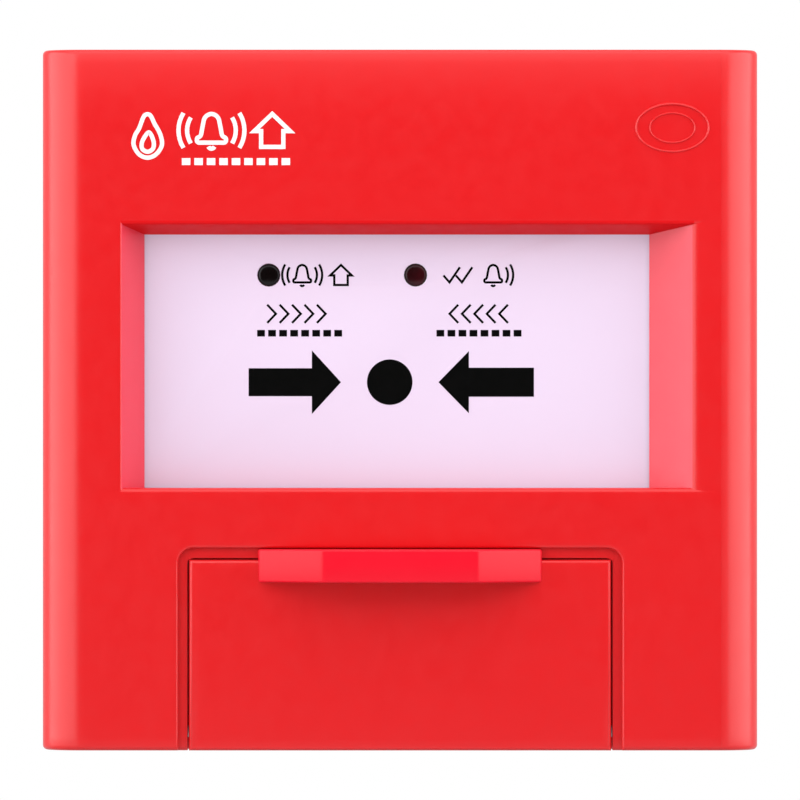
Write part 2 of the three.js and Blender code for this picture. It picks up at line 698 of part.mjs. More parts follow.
place(housing, "latch_spring", latchSpring(), springSteel);
place(housing, "latch_spring_screw", screw(SMALL_SCREW, 1), steel, LATCH_SCREW_SEAT);
place(camCarrier, "reset_key_barrel", carried(camCarrier, resetBarrel()), steel);
place(camCarrier, "reset_cam_lobe", carried(camCarrier, camLobe()), blackPlastic);
place(camCarrier, "cam_retaining_clip", carried(camCarrier, retainingClip()), springSteel);

place(housing, "phone_jack_body", jackBody(), blackPlastic);
place(housing, "phone_jack_contact", jackContact(), brass);
place(housing, "phone_jack_washer", jackWasher(), steel);
place(housing, "phone_jack_nut", jackNut(), steel);

place(doorCarrier, "service_door", carried(doorCarrier, serviceDoor()), redPlastic);
place(housing, "door_hinge_pin", hingePin(), steel);

place(housing, "micro_switch_body", switchBody(), blackPlastic);
place(housing, "switch_plunger", switchPlunger(), redLamp);
place(leverCarrier, "switch_lever", switchLever(), springSteel);

place(housing, "circuit_board", circuitBoard(), boardGreen);
BOSSES.forEach(([x, z], i) => {
  place(housing, `board_screw_${i + 1}`, screw(BOARD_SCREW, 1), steel, [x, BOARD.back + SEAT, z]);
});
for (const [name, x, material] of [["start", LAMP.start, redLamp], ["reply", LAMP.reply, greenLamp]]) {
  place(housing, `${name}_led`, lampBody(), material, [x, LAMP.collar, LAMP.z]);
  place(housing, `${name}_led_spacer`, lampSpacer(), blackPlastic, [x, 0, LAMP.z]);
}
place(housing, "controller_chip", boxPart([19, 29], [2, 12], 2), blackPlastic);
place(housing, "output_relay", boxPart([-33, -18], [-4, 3.5], 9), relayBlue);
CAPACITORS.forEach(([x, z], i) => {
  place(housing, `capacitor_${i + 1}`, capacitor(), blackPlastic, [x, 0, z]);
});
place(housing, "plug_header_left", plugHeader(-1), blackPlastic);
place(housing, "plug_header_right", plugHeader(1), blackPlastic);

place(housing, "terminal_block_left", terminalBlock(-1), terminalGrey);
place(housing, "terminal_block_right", terminalBlock(1), terminalGrey);
[...polePositions(-1), ...polePositions(1)].forEach((x, i) => {
  const at = [x, TERMINAL.screwSeat, TERMINAL.screwZ];
  place(housing, `terminal_screw_${i + 1}`, screw(TERMINAL_SCREW, -1), brass, at);
});

export default callPoint;
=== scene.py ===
import math
import bmesh
import bpy
import numpy as np
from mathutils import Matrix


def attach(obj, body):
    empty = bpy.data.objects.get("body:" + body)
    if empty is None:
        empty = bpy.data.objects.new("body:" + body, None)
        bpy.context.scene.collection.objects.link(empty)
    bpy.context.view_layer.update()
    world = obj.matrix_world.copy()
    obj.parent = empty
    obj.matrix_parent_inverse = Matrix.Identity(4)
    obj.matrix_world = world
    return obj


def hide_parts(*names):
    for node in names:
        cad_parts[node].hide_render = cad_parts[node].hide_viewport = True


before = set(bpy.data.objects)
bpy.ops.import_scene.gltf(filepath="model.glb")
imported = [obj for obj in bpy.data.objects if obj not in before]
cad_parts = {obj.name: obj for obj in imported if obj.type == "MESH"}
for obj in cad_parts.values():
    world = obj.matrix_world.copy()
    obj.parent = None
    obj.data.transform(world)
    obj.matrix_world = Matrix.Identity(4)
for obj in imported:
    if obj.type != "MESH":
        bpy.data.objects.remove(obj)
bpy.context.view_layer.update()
mm = 0.001
print("frame loaded:", len(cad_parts), "nodes")

# Metres and watts. The world's strength turns from front to back with the heading's Y.
cameraSet = {"away": 1.5, "lens": 524.0, "sensor": 36.0, "edgeY": -31.5 * mm, "reach": 10}
studio = {
    "left": {"x": -0.62, "y": -0.55, "deep": 1.5, "tall": 1.3, "power": 18.0},
    "right": {"x": 0.62, "y": -0.31, "deep": 1.02, "tall": 1.3, "power": 12.3},
    "top": {"y": -0.30, "z": 0.42, "size": 0.7, "power": 2.8},
    "world": {"front": 0.06, "back": 0.65, "turnFrom": -0.75, "turnTo": -0.1},
}


# Turns a lamp or camera so that its -Z axis runs from where it is to the target.
def aimAt(thing, target):
    away = np.array(thing.location) - np.array(target)
    tilt, heading = math.atan2(math.hypot(away[0], away[1]), away[2]), math.atan2(away[0], -away[1])
    thing.rotation_euler = (tilt, 0, heading)


# Puts a mesh, lamp or lens into the scene.
def addThing(name, data):
    thing = bpy.data.objects.new(name, data)
    bpy.context.scene.collection.objects.link(thing)
    return thing


def addCamera(settings):
    lens = bpy.data.cameras.new("frontCamera")
    lens.lens = settings["lens"]
    lens.sensor_width = settings["sensor"]
    lens.clip_end = settings["reach"]
    camera = addThing("frontCamera", lens)
    camera.location = (0, settings["edgeY"] - settings["away"], 0)
    aimAt(camera, (0, 0, 0))
    bpy.context.scene.camera = camera


def addSoftbox(name, place, target, size, power):
    lamp = bpy.data.lights.new(name, "AREA")
    lamp.shape = "RECTANGLE"
    lamp.size, lamp.size_y = size
    lamp.energy = power
    box = addThing(name, lamp)
    box.location = place
    aimAt(box, target)
    box.visible_camera = False


# White to the camera; to the object, a bright room behind and a dim one in front.
def addRoom(settings):
    world = bpy.data.worlds.new("studioRoom")
    world.use_nodes = True
    bpy.context.scene.world = world
    nodes, links = world.node_tree.nodes, world.node_tree.links
    background = nodes["Background"]
    heading = nodes.new("ShaderNodeTexCoord")
    split = nodes.new("ShaderNodeSeparateXYZ")
    links.new(heading.outputs["Generated"], split.inputs[0])
    strength = nodes.new("ShaderNodeMapRange")
    strength.interpolation_type = "SMOOTHSTEP"
    for socket, value in (("From Min", settings["turnFrom"]), ("From Max", settings["turnTo"]),
                          ("To Min", settings["front"]), ("To Max", settings["back"])):
        strength.inputs[socket].default_value = value
    links.new(split.outputs["Y"], strength.inputs["Value"])
    path = nodes.new("ShaderNodeLightPath")
    seen = nodes.new("ShaderNodeMath")
    seen.operation = "MAXIMUM"
    links.new(path.outputs["Is Camera Ray"], seen.inputs[0])
    links.new(strength.outputs["Result"], seen.inputs[1])
    background.inputs["Color"].default_value = (1, 1, 1, 1)
    links.new(seen.outputs[0], background.inputs["Strength"])


bpy.context.scene.view_settings.view_transform = "Standard"
addCamera(cameraSet)
for name in ("left", "right"):
    side = studio[name]
    place, size = (side["x"], side["y"], 0), (side["deep"], side["tall"])
    addSoftbox(name + "Softbox", place, (0, side["y"], 0), size, side["power"])
top = studio["top"]
addSoftbox("topSoftbox", (0, top["y"], top["z"]), (0, 0, 0), (top["size"], top["size"]), top["power"])
addRoom(studio["world"])
print("camera and lights placed")

# Each finish: its colour and a second colour that it drifts to in soft patches, how glossy it is at its
# smoothest and roughest, and the grain in its surface. Scales are patches per metre, depths in metres.
# A drawn metal's grain is squeezed by "draw" across the way that it was drawn.
redMoulding = {"colour": (0.605, 0.0048, 0.0072), "drift": (0.585, 0.0045, 0.0068), "patch": 160,
               "rough": (0.28, 0.33), "grain": 4200, "depth": 2.5e-6, "specular": 0.5}
printedInk = {"patch": 900, "grain": 6000, "depth": 2e-6}
tintedLens = {"colour": (0.0015, 0.001, 0.001), "rough": (0.12, 0.2), "grain": 3000, "depth": 1e-6,
              "specular": 0.25}
lampLens = {"patch": 260, "rough": (0.08, 0.16), "grain": 900, "depth": 2e-6, "specular": 0.5, "clear": 0.55}
finishes = {
    "redCover": redMoulding,
    # the recess's side slopes take a lighter, pinker copy of the red: a painted highlight
    "redSlopePaintedHighlight": {**redMoulding, "colour": (0.68, 0.034, 0.060), "drift": (0.66, 0.030, 0.055)},
    # the recess's top slope takes a dull copy of the red that holds back its reflection: painted shade
    "redPaintedShade": {**redMoulding, "rough": (0.5, 0.6), "specular": 0.08},
    # the door's tab takes a lighter, pinker copy of the red with less gloss: a painted highlight
    "redTab": {**redMoulding, "colour": (0.70, 0.0050, 0.020), "drift": (0.68, 0.0046, 0.018),
               "specular": 0.22},
    # the white plate's glow is painted light, lifting the shade that the recess throws on its corners
    "whitePlate": {"colour": (0.521, 0.426, 0.545), "drift": (0.51, 0.418, 0.535), "patch": 90,
                   "rough": (0.38, 0.46), "grain": 3600, "depth": 2e-6, "specular": 0.3,
                   "paintedGlow": (0.20, 0.17, 0.21)},
    "paleFloor": {"colour": (0.52, 0.52, 0.53), "drift": (0.50, 0.50, 0.51), "patch": 12,
                  "rough": (0.7, 0.8), "grain": 700, "depth": 2e-5, "specular": 0.2},
    "blackPrint": {**printedInk, "colour": (0.0006, 0.0008, 0.0006), "drift": (0.002, 0.002, 0.002),
                   "rough": (0.5, 0.6), "specular": 0.03},
    "whitePrint": {**printedInk, "colour": (0.80, 0.72, 0.73), "drift": (0.76, 0.66, 0.68),
                   "rough": (0.45, 0.6), "specular": 0.3},
    "smokedLens": {**tintedLens, "drift": (0.004, 0.0015, 0.0015), "patch": 700},
    "replyLens": {**tintedLens, "drift": (0.05, 0.003, 0.006), "patch": 500},
    "redLamp": {**lampLens, "colour": (0.62, 0.012, 0.012), "drift": (0.45, 0.006, 0.006)},
    "greenLamp": {**lampLens, "colour": (0.05, 0.48, 0.09), "drift": (0.03, 0.36, 0.06)},
    "blackPlastic": {"colour": (0.012, 0.012, 0.013), "drift": (0.018, 0.018, 0.019), "patch": 300,
                     "rough": (0.42, 0.55), "grain": 5200, "depth": 8e-6, "specular": 0.4},
    "boardGreen": {"colour": (0.012, 0.135, 0.042), "drift": (0.02, 0.19, 0.06), "patch": 240,
                   "rough": (0.28, 0.42), "grain": 2400, "depth": 1.2e-5, "specular": 0.5},
    "terminalGrey": {"colour": (0.27, 0.29, 0.31), "drift": (0.23, 0.25, 0.27), "patch": 240,
                     "rough": (0.45, 0.6), "grain": 4200, "depth": 8e-6, "specular": 0.4},
    "relayBlue": {"colour": (0.025, 0.085, 0.36), "drift": (0.02, 0.07, 0.30), "patch": 240,
                  "rough": (0.35, 0.48), "grain": 4200, "depth": 6e-6, "specular": 0.45},
    "steel": {"colour": (0.52, 0.53, 0.55), "drift": (0.47, 0.48, 0.50), "patch": 500,
              "rough": (0.26, 0.36), "grain": 2600, "depth": 2e-6, "metal": 1.0, "draw": (1, 6, 1)},
    "springSteel": {"colour": (0.40, 0.40, 0.42), "drift": (0.32, 0.31, 0.31), "patch": 900,
                    "rough": (0.25, 0.42), "grain": 3000, "depth": 4e-6, "metal": 1.0, "draw": (5, 1, 1)},
    "brass": {"colour": (0.60, 0.38, 0.10), "drift": (0.50, 0.30, 0.07), "patch": 700,
              "rough": (0.24, 0.42), "grain": 2600, "depth": 6e-6, "metal": 1.0, "draw": (1, 6, 1)},
}


noiseSpan = (0.3, 0.7)  # where most of a noise's values lie


# A material whose colour, gloss and bump all come from noise laid through the piece's own coordinates.
def makeFinish(name, spec):
    material = bpy.data.materials.new(name)
    material.use_nodes = True
    nodes, links = material.node_tree.nodes, material.node_tree.links
    shader = nodes["Principled BSDF"]
    place = nodes.new("ShaderNodeTexCoord")
    stretch = nodes.new("ShaderNodeMapping")
    stretch.inputs["Scale"].default_value = spec.get("draw", (1, 1, 1))
    links.new(place.outputs["Object"], stretch.inputs["Vector"])

    def noise(scale, detail):
        texture = nodes.new("ShaderNodeTexNoise")
        texture.inputs["Scale"].default_value = scale
        texture.inputs["Detail"].default_value = detail
        links.new(stretch.outputs["Vector"], texture.inputs["Vector"])
        return texture.outputs["Fac"]

    patches = noise(spec["patch"], 3)
    tint = nodes.new("ShaderNodeMix")
    tint.data_type = "RGBA"
    tint.inputs["A"].default_value = (*spec["colour"], 1)
    tint.inputs["B"].default_value = (*spec["drift"], 1)
    links.new(patches, tint.inputs["Factor"])
    links.new(tint.outputs["Result"], shader.inputs["Base Color"])
    gloss = nodes.new("ShaderNodeMapRange")
    gloss.inputs["From Min"].default_value, gloss.inputs["From Max"].default_value = noiseSpan
    gloss.inputs["To Min"].default_value, gloss.inputs["To Max"].default_value = spec["rough"]
    links.new(noise(spec["patch"] * 3, 4), gloss.inputs["Value"])
    links.new(gloss.outputs["Result"], shader.inputs["Roughness"])
    grain = nodes.new("ShaderNodeBump")
    grain.inputs["Distance"].default_value = spec["depth"]
    grain.inputs["Strength"].default_value = 1.0
    links.new(noise(spec["grain"], 2), grain.inputs["Height"])
    links.new(grain.outputs["Normal"], shader.inputs["Normal"])
    shader.inputs["Metallic"].default_value = spec.get("metal", 0.0)
    shader.inputs["Specular IOR Level"].default_value = spec.get("specular", 0.5)
    shader.inputs["Transmission Weight"].default_value = spec.get("clear", 0.0)
    if "paintedGlow" in spec:  # painted light: an even glow that lifts the plate's shaded corners, though the plate is no lamp
        shader.inputs["Emission Color"].default_value = (*spec["paintedGlow"], 1)
        shader.inputs["Emission Strength"].default_value = 1.0
    return material


paint = {name: makeFinish(name, spec) for name, spec in finishes.items()}
print("finishes mixed:", len(paint))


# Ties a finished piece to its body, and hides the CAD nodes that it stands for.
def settle(piece, body, slot, *nodes):
    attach(piece, body)
    if nodes:
        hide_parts(*nodes)
    return piece


sharpAngle = math.radians(35)  # edges sharper than this stay crisp
tinyGap = 1e-7  # points nearer than this, in metres, are one point
nodeGap = 1e-6  # the same for a CAD node's corners
flatAngle = math.radians(0.5)  # a CAD node's faces that turn less than this are one face


# An object from an array of points in millimetres and lists of faces.
def meshFrom(name, points, faces, finish, smooth=True):
    mesh = bpy.data.meshes.new(name)
    mesh.from_pydata((np.asarray(points, float) * mm).tolist(), [], faces)
    mesh.materials.append(paint[finish])
    shape = bmesh.new()
    shape.from_mesh(mesh)
    bmesh.ops.remove_doubles(shape, verts=shape.verts, dist=tinyGap)
    bmesh.ops.recalc_face_normals(shape, faces=shape.faces)
    shape.to_mesh(mesh)
    shape.free()
    if smooth:
        mesh.shade_smooth()
        mesh.set_sharp_from_angle(angle=sharpAngle)
    else:
        mesh.shade_flat()
    mesh.update()
    return addThing(name, mesh)


# Quads between neighbouring rows and columns of a grid; a round grid also joins its last to its first.
def gridFaces(rows, columns, roundRows=False, roundColumns=False):
    i = np.arange(rows if roundRows else rows - 1)
    j = np.arange(columns if roundColumns else columns - 1)
    i, j = np.meshgrid(i, j, indexing="ij")
    i2, j2 = (i + 1) % rows, (j + 1) % columns
    corners = np.stack([i * columns + j, i2 * columns + j, i2 * columns + j2, i * columns + j2], axis=-1)
    return corners.reshape(-1, 4).tolist()


arcShare = 0.45  # the most of a side that one corner's arc takes up


# Corners of a profile replaced by arcs: each point slides along its two sides by the radius, and the
# arc between is the quadratic curve through the corner.
def softened(profile, radius, steps=4):
    points = np.asarray(profile, float)
    middle = points[1:-1]
    before, after = points[:-2] - middle, points[2:] - middle
    lengthBefore = np.linalg.norm(before, axis=1, keepdims=True)
    lengthAfter = np.linalg.norm(after, axis=1, keepdims=True)
    reach = np.minimum(radius, np.minimum(lengthBefore, lengthAfter) * arcShare)
    start, end = middle + before / lengthBefore * reach, middle + after / lengthAfter * reach
    t = np.linspace(0, 1, steps + 1)[None, :, None]
    arcs = (1 - t) ** 2 * start[:, None] + 2 * t * (1 - t) * middle[:, None] + t ** 2 * end[:, None]
    return np.vstack([points[:1], arcs.reshape(-1, 2), points[-1:]])


# Where three coordinates go for a piece that stands along x, y or z: (across, up, along).
layOf = {"x": (1, 2, 0), "y": (0, 2, 1), "z": (0, 1, 2)}


# A turned piece: the profile (radius, height) is spun about an axis, so a point is the centre plus
# height along the axis plus radius times (cosine, sine) across it. Ends on the axis close in a pole.
def turned(name, profile, centre, finish, axis="y", sides=48):
    profile = np.asarray(profile, float)
    angle = np.linspace(0, 2 * np.pi, sides, endpoint=False)
    radius, height = profile[:, 0][:, None], profile[:, 1][:, None]
    across, up, along = layOf[axis]
    points = np.empty((len(profile), sides, 3))
    points[..., across] = centre[across] + radius * np.cos(angle)
    points[..., up] = centre[up] + radius * np.sin(angle)
    points[..., along] = centre[along] + height
    return meshFrom(name, points.reshape(-1, 3), gridFaces(len(profile), sides, False, True), finish)


# A flat print: the outline (x, z) stands between two depths, with a face at each end.
def slab(name, outline, front, back, finish):
    outline = np.asarray(outline, float)
    count = len(outline)
    depths = np.repeat([front, back], count)
    points = np.column_stack([np.tile(outline[:, 0], 2), depths, np.tile(outline[:, 1], 2)])
    faces = gridFaces(2, count, False, True) + [list(range(count)), list(range(count, 2 * count))]
    return meshFrom(name, points, faces, finish, smooth=False)


# A drawn line: at each point of the path the ribbon's two edges lie half a width to either side, along
# the mitre of the two strokes that meet there, and four such edges make a thin bar.
def ribbon(path, width, front, back, closed=False):
    path = np.asarray(path, float)
    if closed:
        strokes = np.roll(path, -1, axis=0) - path
        before = np.roll(strokes, 1, axis=0)
    else:
        strokes = np.diff(path, axis=0)
        before = np.vstack([strokes[:1], strokes])
        strokes = np.vstack([strokes, strokes[-1:]])
    a, b = [np.column_stack([-v[:, 1], v[:, 0]]) / np.linalg.norm(v, axis=1, keepdims=True)
            for v in (before, strokes)]
    mitre = (a + b) / (1 + np.sum(a * b, axis=1, keepdims=True)) * width / 2
    left, right = path + mitre, path - mitre
    bar = [(left, front), (right, front), (right, back), (left, back)]
    edges = [np.column_stack([edge[:, 0], np.full(len(path), y), edge[:, 1]]) for edge, y in bar]
    points = np.stack(edges, axis=1)
    faces = gridFaces(len(path), 4, closed, True)
    if not closed:
        faces += [[0, 1, 2, 3], [4 * len(path) - 4 + k for k in range(4)]]
    return points.reshape(-1, 3), faces


# Points and faces of several parts in one list, each part's faces counted on from the last.
def gathered(parts):
    points, faces, start = [], [], 0
    for these, quads in parts:
        points.append(these)
        faces += [[corner + start for corner in quad] for quad in quads]
        start += len(these)
    return np.vstack(points), faces


# Several drawn lines in one piece.
def ribbons(name, strokes, width, front, back, finish):
    bars = [ribbon(path, width, front, back, closed) for path, closed in strokes]
    return meshFrom(name, *gathered(bars), finish, smooth=False)


# A copy of a CAD node with its flat faces joined up, and edges sharper than an angle rounded.
def moulded(name, node, finish, edge, segments=3, sharp=30):
    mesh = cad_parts[node].data.copy()
    mesh.name = name
    mesh.materials.clear()
    mesh.materials.append(paint[finish])
    shape = bmesh.new()
    shape.from_mesh(mesh)
    bmesh.ops.remove_doubles(shape, verts=shape.verts, dist=nodeGap)
    bmesh.ops.dissolve_limit(shape, angle_limit=flatAngle, verts=shape.verts, edges=shape.edges)
    shape.to_mesh(mesh)
    shape.free()
    mesh.shade_smooth()
    piece = addThing(name, mesh)
    rounding = piece.modifiers.new("edges", "BEVEL")
    rounding.width = edge * mm
    rounding.segments = segments
    rounding.limit_method = "ANGLE"
    rounding.angle_limit = math.radians(sharp)
    rounding.use_clamp_overlap = True
    rounding.harden_normals = True
    return piece


# A profile carried round an outline: every loop is the outline drawn in by the profile's first number
# along its mitres, at the profile's second number along the axis. Both ends are closed.
def carriedRound(outline, profile, axis="y"):
    outline, profile = np.asarray(outline, float), np.asarray(profile, float)
    stroke = np.roll(outline, -1, axis=0) - outline
    area = np.sum(outline[:, 0] * np.roll(outline[:, 1], -1) - np.roll(outline[:, 0], -1) * outline[:, 1])
    inward = np.column_stack([-stroke[:, 1], stroke[:, 0]]) * np.sign(area)
    inward /= np.linalg.norm(inward, axis=1, keepdims=True)
    before = np.roll(inward, 1, axis=0)
    mitre = (inward + before) / (1 + np.sum(inward * before, axis=1, keepdims=True))
    flat = outline[None] + profile[:, 0][:, None, None] * mitre[None]
    points = np.empty((len(profile), len(outline), 3))
    across, up, along = layOf[axis]
    points[..., across], points[..., up] = flat[..., 0], flat[..., 1]
    points[..., along] = profile[:, 1][:, None]
    count, last = len(outline), (len(profile) - 1) * len(outline)
    faces = gridFaces(len(profile), count, False, True)
    faces += [list(range(count)), list(range(last, last + count))]
    return points.reshape(-1, 3), faces


# A profile that goes from one height to another with an arc of the given radius at each end.
def roundedEnds(low, high, radiusLow, radiusHigh, steps=4):
    turn = np.linspace(0, np.pi / 2, steps + 1)
    lowArc = np.column_stack([radiusLow * (1 - np.sin(turn)), low + radiusLow * (1 - np.cos(turn))])
    highArc = np.column_stack([radiusHigh * (1 - np.cos(turn)), high - radiusHigh * (1 - np.sin(turn))])
    return np.vstack([lowArc, highArc])


# Millimetres. Depths are measured in from the flat front, and "half" runs either side of the middle.
coverSet = {
    "half": 46.0, "tall": 45.0, "front": -37.0, "skirt": -8.0, "wall": 2.2, "innerTurn": 41.8,
    "round": 5.5, "roundSteps": 12, "edge": 0.6,
    "crown": {"from": 35.0, "drop": 0.75},  # the front leans back towards its top edge
    "window": {"left": -32.9, "right": 32.1, "bottom": -11.3, "top": 21.3, "deep": 5.0, "rim": 2.2},
    "slope": {"left": 2.9, "right": 5.6, "top": 1.25},
    "soft": {"left": 0.18, "right": 0.5, "top": 0.55},  # how softly each slope rolls over into the front
    "ledge": 0.6,
    "steps": {"edge": 6, "corner": 7, "ledge": 7, "crown": 10},  # grid lines along each curve
    "doorway": {"half": 28.5, "top": -19.0, "deep": 0.75, "corner": 2.0, "edge": 0.3, "fade": 1.2},
    "seat": {"half": 27.3, "top": -20.3, "deep": 2.4},
    "bay": {"half": 25.5, "top": -22.0, "bottom": -43.2, "deep": 11.0, "floor": 2.0},
    "swing": {"half": 27.3, "top": -40.5, "deep": 7.4},
    "behindSlope": {"below": 1.0, "above": 4.0, "wall": 1.6},
    "behind": [  # the inside's steps behind the doorway, the swing pocket and the bay
        {"half": 30.3, "top": -17.1, "deep": 4.0},
        {"half": 30.7, "top": -38.6, "deep": 9.2},
        {"half": 27.5, "top": -20.1, "deep": 13.0},
    ],
    "levels": (-31.5, -18.0, -15.2, -14.0, -12.6, -10.0),
    "bayHoles": {
        "socketHole": {"at": (-12.0, -33.0), "half": 5.2, "bore": 4.6, "edge": 0.2, "sides": 64},
        "barrelHole": {"at": (14.0, -33.0), "half": 4.2, "bore": 3.6, "edge": 0.2, "sides": 64},
    },
    "screwHole": {"at": (0.0, -14.0), "half": 4.0, "head": 2.9, "seat": 1.3, "bore": 1.5, "edge": 0.25,
                  "sides": 64},
    "snap": {"x": 22.0, "half": 4.0, "from": -15.2, "to": -12.6},
    "slopeStart": (0.024, 0.03, 0.038, 0.05, 0.07, 0.1, 0.15, 0.22, 0.32, 0.46, 0.66, 0.95),
    "slopeEnd": (1.4, 2.0, 2.8, 3.8, 5.0),  # grid lines run where a slope has sunk to these depths
    "shallowest": 0.012,  # a slope's tail that is shallower than this lies flat
    "spare": {"across": 38.8, "upright": (0.0, 10.0, 29.0), "beside": (0.6, 1.2)},
}
step = 0.004  # two grid lines this far apart stand for one upright wall
bend = step / 40  # a quad whose corners are further out of one plane than this is split


# How far a slope has sunk at a distance outside the recess: a straight ramp that reaches the full depth
# at the recess's edge, and whose start is rolled over like one branch of a hyperbola.
def slopeDepth(out, deep, run, soft):
    rise = deep - soft ** 2 / (4 * deep) - out * deep / run
    return (rise + np.sqrt(rise ** 2 + soft ** 2)) / 2


# The same the other way round: the distance outside the recess at which a slope has sunk to a depth.
def slopeReach(depth, deep, run, soft):
    return (deep - soft ** 2 / (4 * deep) - depth + soft ** 2 / (4 * depth)) * run / deep


# Grid lines across the front: along the slopes, round the doorway's edge, and on both sides of each wall.
def frontLines(cover):
    window, slope, doorway, bay = cover["window"], cover["slope"], cover["doorway"], cover["bay"]
    seat, swing, snap, spare = cover["seat"], cover["swing"], cover["snap"], cover["spare"]
    deep, soft, steps = window["deep"], cover["soft"], cover["steps"]
    # the line round the rim is among the slopes' own, so that it meets itself at the mitres
    atRim = [slopeDepth(window["rim"], deep, slope[side], soft[side]) for side in slope]
    sunk = np.concatenate([cover["slopeStart"], cover["slopeEnd"], atRim])
    reach = {side: slopeReach(sunk, deep, slope[side], soft[side]) for side in slope}
    roll = doorway["edge"] * (1 - np.sin(np.linspace(0, np.pi / 2, steps["edge"])))
    arc = doorway["corner"] * np.tan(np.linspace(0, np.pi / 4, steps["corner"]))
    beyond = np.array(spare["beside"])
    # blocks round the bay's holes: each centre plus and minus half a block, as one list of x and one of z
    holes = cover["bayHoles"].values()
    blocks = [np.add.outer((-hole["half"], hole["half"]), hole["at"]) for hole in holes]
    holeX, holeZ = np.array(blocks).T.reshape(2, -1)
    half = np.concatenate([
        [0.0, cover["screwHole"]["half"], snap["x"] - snap["half"], bay["half"] - step, bay["half"]],
        [swing["half"] - step, swing["half"], snap["x"] + snap["half"]],
        doorway["half"] - doorway["corner"] + arc, [doorway["half"] - step], doorway["half"] + roll,
        doorway["half"] + beyond,
    ])
    flat = cover["half"] - cover["round"]
    across = np.concatenate([
        half, -half, window["left"] - reach["left"], window["right"] + reach["right"],
        [spare["across"]], holeX, [-flat, flat],
    ])
    edge, tall = cover["edge"], cover["tall"]
    lip = edge * np.sin(np.linspace(0, np.pi / 2, steps["edge"]))
    upright = np.concatenate([
        window["top"] + reach["top"], spare["upright"],
        window["bottom"] - cover["ledge"] * (1 - np.sin(np.linspace(0, np.pi / 2, steps["ledge"]))),
        [window["bottom"] + step, window["bottom"] - window["rim"]],
        doorway["top"] + roll, doorway["top"] + beyond, [doorway["top"] - step],
        doorway["top"] - doorway["corner"] + arc, [seat["top"], seat["top"] - step],
        [bay["top"] + step, bay["top"], bay["bottom"] - step, bay["bottom"]],
        [swing["top"], swing["top"] - step], holeZ,
        np.linspace(cover["crown"]["from"], tall - edge, steps["crown"]),
        tall - edge + lip, edge - tall - lip,
    ])
    return np.unique(np.round(across, 4)), np.unique(np.round(upright, 4))


# Depth of the outside below the flat front, at every (x, z): the least of the recess's four slopes,
# and the doorway, swing pocket and bay one behind the other.
def outsideDepth(cover, x, z):
    window, slope, soft = cover["window"], cover["slope"], cover["soft"]
    deep, ledge = window["deep"], cover["ledge"]
    left = slopeDepth(window["left"] - x, deep, slope["left"], soft["left"])
    right = slopeDepth(x - window["right"], deep, slope["right"], soft["right"])
    above = slopeDepth(z - window["top"], deep, slope["top"], soft["top"])
    run = np.clip(z - window["bottom"] + ledge, 0, ledge)
    below = np.where(z > window["bottom"] + step / 2, deep, ledge - np.sqrt(ledge ** 2 - run ** 2))
    depth = np.minimum(np.minimum(np.minimum(left, right), np.minimum(above, below)), deep)
    depth = np.where(depth < cover["shallowest"], 0, depth)
    doorway, swing, bay = cover["doorway"], cover["swing"], cover["bay"]
    out = np.maximum(np.abs(x) - doorway["half"], z - doorway["top"])
    near = np.clip(doorway["edge"] - out, 0, doorway["edge"])
    lip = doorway["edge"] - np.sqrt(doorway["edge"] ** 2 - near ** 2)
    depth = np.maximum(depth, lip)
    depth = np.where(out < -step / 2, doorway["deep"], depth)
    seat = cover["seat"]
    inSeat = (np.abs(x) < seat["half"] - step / 2) & (z < seat["top"] - step / 2)
    depth = np.where(inSeat, seat["deep"], depth)
    inSwing = (np.abs(x) < swing["half"] - step / 2) & (z < swing["top"] - step / 2)
    inBay = (z < bay["top"] + step / 2) & (z > bay["bottom"] - step / 2)
    inBay &= np.abs(x) < bay["half"] - step / 2
    return np.where(inBay, bay["deep"], np.where(inSwing, swing["deep"], depth))


# Depth of the inside below the flat front: the wall's thickness, more behind the recess and the bay.
def insideDepth(cover, x, z):
    window, slope = cover["window"], cover["behindSlope"]
    rim = window["rim"] + step
    behindRecess = (x > window["left"] - rim) & (x < window["right"] + rim)
    behindRecess &= (z > window["bottom"] - rim) & (z < window["top"] + rim)
    depth = np.where(behindRecess, window["deep"], cover["wall"])
    beside = (z > window["bottom"] - slope["below"]) & (z < window["top"] + slope["above"])
    sunk = np.minimum(outsideDepth(cover, x, z) + slope["wall"], window["deep"])
    depth = np.where(beside, np.maximum(depth, sunk), depth)
    for hollow in cover["behind"]:
        depth = np.where((np.abs(x) < hollow["half"]) & (z < hollow["top"]), hollow["deep"], depth)
    return depth


# The doorway's square upper corners drawn into arcs: a point's larger distance from the arc's centre
# becomes its radius, and the pull fades out a little beyond the corner.
def roundDoorway(cover, x, z):
    doorway = cover["doorway"]
    radius, fade = doorway["corner"], doorway["fade"]
    p = np.abs(x) - doorway["half"] + radius
    q = z - doorway["top"] + radius
    reach = np.maximum(p, q)
    inside = (p > 0) & (q > 0) & (reach < radius + fade)
    angle = np.arctan2(q, p)
    pull = np.clip((radius + fade - reach) / (fade - doorway["edge"]), 0, 1)
    pull = np.where(inside, pull, 0)
    newP = p + (reach * np.cos(angle) - p) * pull
    newQ = q + (reach * np.sin(angle) - q) * pull
    moved = np.sign(x) * (newP + doorway["half"] - radius)
    return np.where(inside, moved, x), np.where(inside, newQ + doorway["top"] - radius, z)


